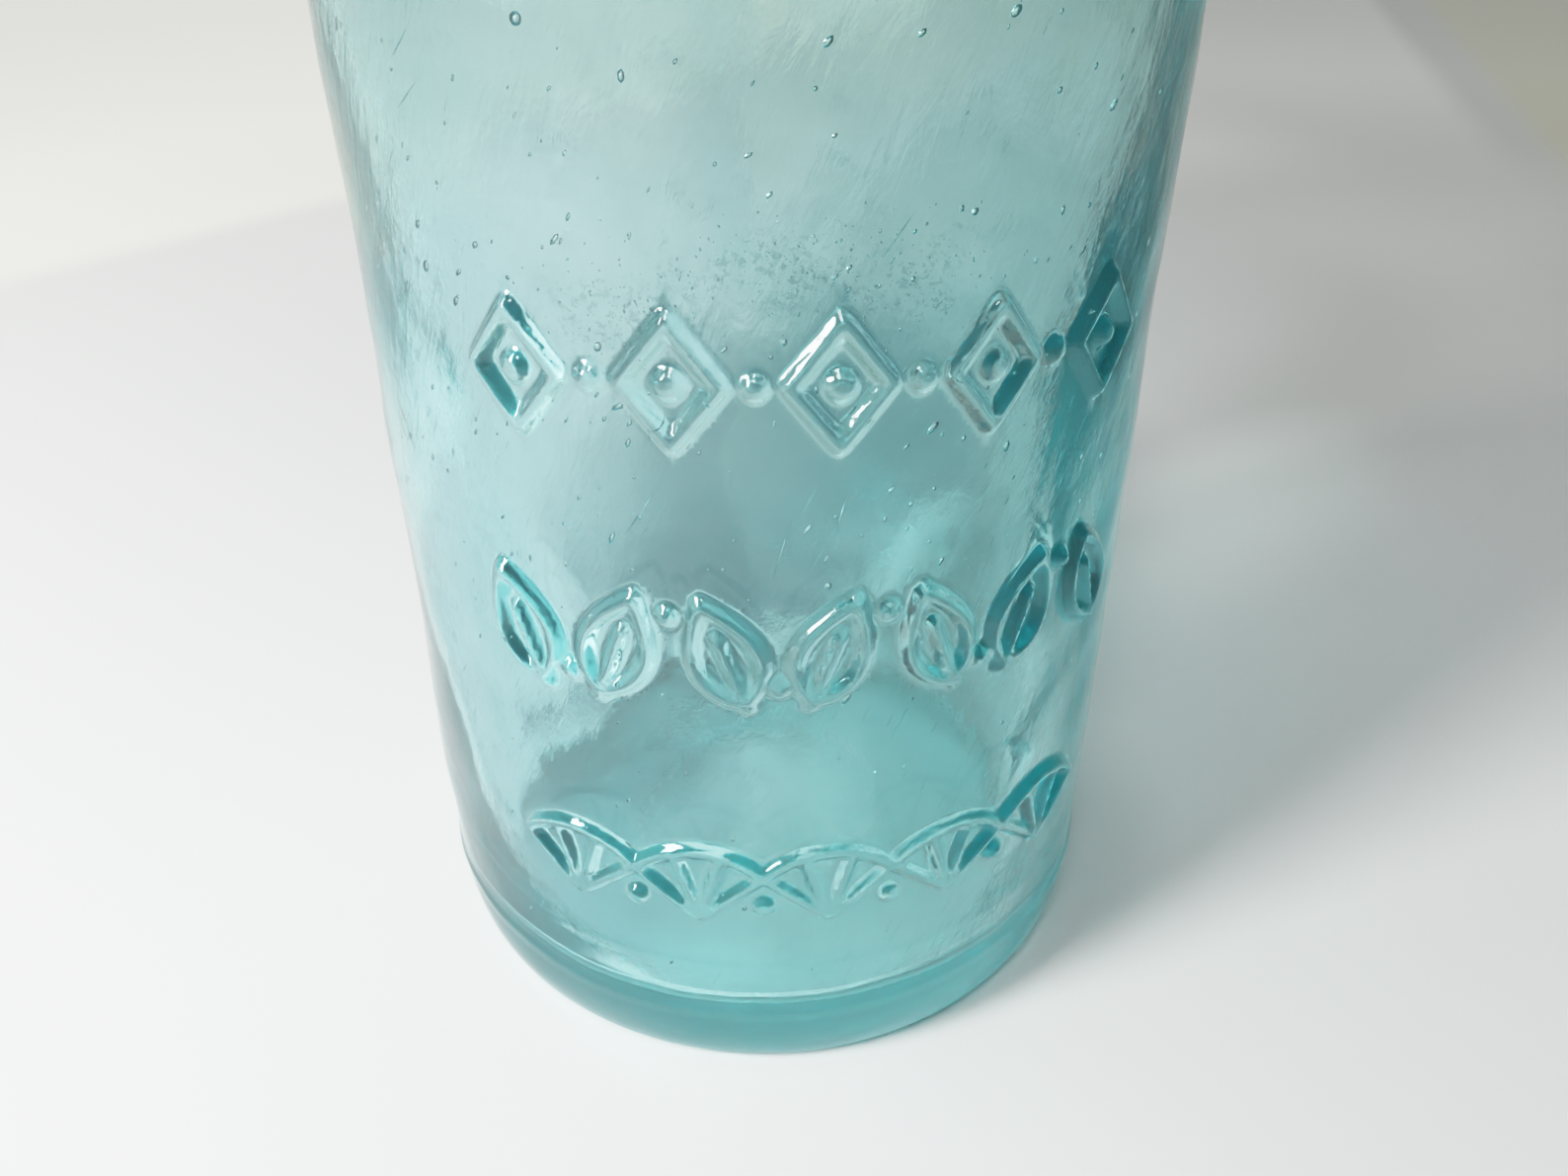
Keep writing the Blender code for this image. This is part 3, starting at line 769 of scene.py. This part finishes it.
def floor_material():
    """White paper, with painted shadows and painted light on it. Past its edges lies a warmer surface: pale at the back
    left, dull at the back right. Lengths are in bottle radii.
    """
    mat, nt, p, out = nodes_of("paper")
    p.inputs["Roughness"].default_value = 0.9
    p.inputs["Specular IOR Level"].default_value = 0.2
    place = node(nt, "ShaderNodeTexCoord")
    scaled = node(nt, "ShaderNodeVectorMath", operation="SCALE")
    scaled.inputs["Scale"].default_value = 1 / U
    nt.links.new(place.outputs["Object"], scaled.inputs[0])
    xyz = node(nt, "ShaderNodeSeparateXYZ")
    nt.links.new(scaled.outputs["Vector"], xyz.inputs["Vector"])
    x, y = xyz.outputs["X"], xyz.outputs["Y"]
    f = Maths(nt)

    def beyond(x0, y0, x1, y1, soft):
        length = math.hypot(x1 - x0, y1 - y0)
        nx, ny = -(y1 - y0) / length, (x1 - x0) / length
        edge = x0 * nx + y0 * ny
        return f.step(f.axis(x, y, nx, ny), edge - soft, edge + soft)

    left_wall = beyond(-6.41, 6.58, -4.67, 9.43, 0.5)
    left_far = beyond(-8.6, 7.95, -6.87, 10.8, 2.2)
    right_wall = beyond(18.5, 34.8, 9.07, 11.06, 0.3)
    fold = beyond(17.0, 34.8, 7.34, 8.02, 0.35)
    paper = f.blend(left_wall, (0.755, 0.768, 0.765), (0.81, 0.815, 0.72))
    # painted shade: the paper is darker far off to the right
    paper = f.blend(f.mul(f.step(x, 5.0, 7.5, 0, 0.85), f.step(y, 11, 20, 1, 0)), paper, (0.51, 0.535, 0.515))
    # painted shade: the strip past the paper's fold, before the wall, is darker
    paper = f.blend(fold, paper, (0.455, 0.465, 0.455))
    paper = f.blend(right_wall, paper, (0.47, 0.477, 0.32))

    def patch(cx, cy, rx, ry, turn=0.0, inner=0.45, outer=1.35):
        """1 within an ellipse with soft edges, 0 well outside it."""
        c, d = math.cos(math.radians(turn)), math.sin(math.radians(turn))
        u = f.op("MULTIPLY", f.op("SUBTRACT", f.axis(x, y, c, d), cx * c + cy * d), 1 / rx)
        v = f.op("MULTIPLY", f.op("SUBTRACT", f.axis(x, y, -d, c), -cx * d + cy * c), 1 / ry)
        return f.step(f.op("SQRT", f.add(f.mul(u, u), f.mul(v, v))), inner, outer, 1, 0)

    # painted shadow: the paper is toned where the bottle's coloured shadow lies on it, with painted light where the
    # glass throws teal light into it
    a = math.radians(35.5)
    along, across = f.axis(x, y, math.cos(a), math.sin(a)), f.axis(x, y, -math.sin(a), math.cos(a))
    near = f.mul(
        f.mul(f.step(across, -1.15, -0.85), f.step(across, 0.3, 1.6, 1, 0)),
        f.mul(f.step(along, 0.2, 0.8), f.step(along, 1.6, 4.2, 1, 0.25)),
    )
    paper = f.blend(f.mul(near, 0.50), paper, (0.56, 0.62, 0.60))
    paper = f.blend(f.mul(patch(5.4, 8.2, 5.2, 3.0, 40), 0.95), paper, (0.53, 0.535, 0.52))
    paper = f.blend(f.mul(patch(3.4, 5.2, 3.0, 1.5, 51, 0.2, 1.3), 0.95), paper, (0.40, 0.405, 0.39))
    paper = f.blend(f.mul(patch(2.3, 6.8, 2.0, 4.0, -14), 0.85), paper, (0.50, 0.535, 0.535))
    # painted shade: dark patches close behind the base
    paper = f.blend(f.mul(patch(0.45, 3.0, 1.6, 2.1), 0.95), paper, (0.19, 0.27, 0.28))
    paper = f.blend(f.mul(patch(-0.15, 1.90, 0.95, 0.62), 0.92), paper, (0.13, 0.22, 0.24))
    paper = f.blend(f.mul(patch(-0.62, 0.97, 0.50, 0.27, 40), 0.90), paper, (0.13, 0.22, 0.24))
    # painted light: teal pools that the glass throws into its shadow
    paper = f.blend(f.mul(patch(0.38, 1.22, 0.86, 0.34), 0.92), paper, (0.78, 0.91, 0.91))
    paper = f.blend(f.mul(patch(1.02, 2.15, 0.46, 0.36), 0.85), paper, (0.74, 0.88, 0.88))
    # less light reaches the right, and what lies under the base is seen in the glass's colour
    dim = f.mul(f.step(x, -0.4, 2.6), f.step(y, 0.5, 3.0, 1, 0.2))
    paper = f.blend(f.mul(dim, 0.9), paper, (0.69, 0.70, 0.695))
    paper = f.blend(f.mul(f.step(x, 0.3, 2.3), f.step(y, -0.6, 0.5, 1, 0)), paper, (0.66, 0.671, 0.667))
    # light that the glass throws into its own shadow, and the dark beside the base
    paper = f.blend(f.mul(patch(2.35, 2.40, 1.7, 0.62, 46, 0.1, 1.3), 0.90), paper, (0.87, 0.94, 0.92))
    paper = f.blend(f.mul(patch(1.10, -0.06, 0.52, 0.22, 66, 0.2, 1.4), 0.42), paper, (0.42, 0.48, 0.47))
    away = f.op("SQRT", f.add(f.mul(x, x), f.mul(y, y)))
    # painted light: the paper under the base takes the glass's colour
    paper = f.blend(f.step(away, 0.80, 0.93, 0.5, 0.0), paper, (0.55, 0.79, 0.80))
    # painted shade under the left of the base; the glow there is dimmed with it
    under = patch(-0.50, 0.24, 0.38, 0.28)
    paper = f.blend(f.mul(under, 0.70), paper, (0.22, 0.42, 0.44))
    # the floor is darker beside the paper, at the right
    paper = f.blend(f.step(f.axis(x, y, 0.869, -0.495), 2.6, 5.0), paper, (0.245, 0.24, 0.225))
    nt.links.new(paper, p.inputs["Base Color"])

    # the rest of the room lights what lies far off, most of all at the left
    p.inputs["Emission Color"].default_value = (0.99, 1.0, 0.95, 1)
    leftward = f.step(x, 5.0, -4.0, 0.30, 1.0)
    glow = f.add(f.add(f.mul(left_wall, 0.15), f.mul(left_far, 0.09)), f.mul(f.step(away, 2.0, 12), f.mul(leftward, 0.32)))
    glow = f.add(glow, f.step(away, 9, 24, 0, 0.10))
    # light that the glass of the base gathers from all round
    glow = f.add(glow, f.mul(f.step(away, 0.80, 0.93, 0.18, 0.0), f.op("MULTIPLY_ADD", under, -0.7, 1.0)))
    # painted light: glows under the base and just behind it
    glow = f.add(glow, f.add(f.mul(patch(0.06, 0.20, 0.30, 0.26), 0.09), f.mul(patch(0.05, 1.20, 0.62, 0.26), 0.11)))
    nt.links.new(glow, p.inputs["Emission Strength"])
    return mat


rim = np.radians(np.arange(0, 360, 3))
stage_mesh(
    "floor",
    np.stack([3.4 * np.cos(rim), 3.4 * np.sin(rim), np.full(rim.shape, -0.00008)], 1),
    [list(range(len(rim)))],
    floor_material(),
)

# The room: light towards the left, dull towards the right, with a darker ceiling
world = bpy.data.worlds.new("studio")
bpy.context.scene.world = world
world.use_nodes = True
wt = world.node_tree
back = wt.nodes["Background"]
way = node(wt, "ShaderNodeTexCoord")
lean = node(wt, "ShaderNodeVectorMath", operation="DOT_PRODUCT")
lean.inputs[1].default_value = (-0.93, 0.36, 0.0)
wt.links.new(way.outputs["Generated"], lean.inputs[0])
side_light = node(wt, "ShaderNodeMapRange", clamp=True)
side_light.inputs["From Min"].default_value = -1.0
side_light.inputs["From Max"].default_value = 1.0
side_light.inputs["To Min"].default_value = 0.06
side_light.inputs["To Max"].default_value = 0.98
wt.links.new(lean.outputs["Value"], side_light.inputs["Value"])
axes = node(wt, "ShaderNodeSeparateXYZ")
wt.links.new(way.outputs["Generated"], axes.inputs["Vector"])
ceiling = node(wt, "ShaderNodeMapRange", clamp=True)
ceiling.inputs["To Min"].default_value = 1.0
ceiling.inputs["From Max"].default_value = 0.5
ceiling.inputs["To Max"].default_value = 0.12
wt.links.new(axes.outputs["Z"], ceiling.inputs["Value"])
level = node(wt, "ShaderNodeMath", operation="MULTIPLY")
wt.links.new(side_light.outputs["Result"], level.inputs[0])
wt.links.new(ceiling.outputs["Result"], level.inputs[1])
# the wall behind is lit from above
facing = node(wt, "ShaderNodeVectorMath", operation="DOT_PRODUCT")
facing.inputs[1].default_value = (-0.10, 0.86, 0.50)
wt.links.new(way.outputs["Generated"], facing.inputs[0])
lit = node(wt, "ShaderNodeMapRange", interpolation_type="SMOOTHSTEP")
lit.inputs["From Min"].default_value = 0.55
lit.inputs["From Max"].default_value = 0.97
lit.inputs["To Max"].default_value = 0.60
wt.links.new(facing.outputs["Value"], lit.inputs["Value"])
total = node(wt, "ShaderNodeMath", operation="ADD")
wt.links.new(level.outputs["Value"], total.inputs[0])
wt.links.new(lit.outputs["Result"], total.inputs[1])
back.inputs["Color"].default_value = (0.98, 1.0, 0.985, 1)
wt.links.new(total.outputs["Value"], back.inputs["Strength"])


def area(name, azimuth, elevation, distance, width, height, power, colour=(1, 1, 1), aim=(0, 0, 0.05)):
    light = bpy.data.lights.new(name, "AREA")
    light.shape = "ELLIPSE"
    light.size, light.size_y = width, height
    light.energy = power
    light.color = colour
    obj = bpy.data.objects.new(name, light)
    a, e = math.radians(azimuth), math.radians(elevation)
    way = Vector((math.sin(a) * math.cos(e), -math.cos(a) * math.cos(e), math.sin(e)))
    obj.location = Vector(aim) + way * distance
    obj.rotation_mode = "QUATERNION"
    obj.rotation_quaternion = way.to_track_quat("Z", "Y")
    obj.visible_camera = False
    bpy.context.scene.collection.objects.link(obj)
    return obj


area("key", -55, 31, 0.50, 0.15, 0.30, 4.2, (1.0, 1.0, 0.985))
area("front", -8, 54, 0.52, 0.15, 0.15, 1.1, (1.0, 1.0, 0.99))
area("left", -88, 64, 0.46, 0.22, 0.22, 0.28, (1.0, 1.0, 0.99))

cam_data = bpy.data.cameras.new("camera")
cam_data.sensor_width = 36.0
cam_data.lens = 1200 / 1588 * 36.0
cam_data.clip_start, cam_data.clip_end = 0.005, 20
cam = bpy.data.objects.new("camera", cam_data)
cam.location = (0.058 * U, -3.113 * U, 2.797 * U)
pitch, roll = math.radians(30.6), math.radians(-0.06)
forward = Vector((0, math.cos(pitch), -math.sin(pitch)))
up = Vector((0, math.sin(pitch), math.cos(pitch)))
right = Vector((1, 0, 0))
r2 = right * math.cos(roll) + up * math.sin(roll)
u2 = up * math.cos(roll) - right * math.sin(roll)
m = Matrix.Identity(4)
for k in range(3):
    m[k][0], m[k][1], m[k][2], m[k][3] = r2[k], u2[k], -forward[k], cam.location[k]
cam.matrix_world = m
bpy.context.scene.collection.objects.link(cam)
bpy.context.scene.camera = cam

scene = bpy.context.scene
scene.view_settings.view_transform = "Standard"
scene.view_settings.look = "None"
# A camera's soft shoulder: the bright paper is held back a little
scene.view_settings.use_curve_mapping = True
curves = scene.view_settings.curve_mapping
curves.use_clip = False
curves.black_level = (0.0, 0.0, 0.0)
curves.white_level = (2.0, 2.0, 2.0)
shoulder = curves.curves[3]
for x, y in ((0.225, 0.45), (0.29, 0.55), (0.36, 0.65), (0.44, 0.74), (0.54, 0.82), (0.66, 0.89), (0.82, 0.95)):
    shoulder.points.new(x, y)
shoulder.points[-1].location = (1.0, 0.985)
for q in shoulder.points:
    q.handle_type = "VECTOR"
curves.update()
cy = scene.cycles
cy.max_bounces = 72
cy.transmission_bounces = 72
cy.glossy_bounces = 32
cy.diffuse_bounces = 4
cy.transparent_max_bounces = 16
cy.caustics_refractive = True
cy.caustics_reflective = True
cy.blur_glossy = 0.3
cy.sample_clamp_indirect = 45.0
cy.use_denoising = True
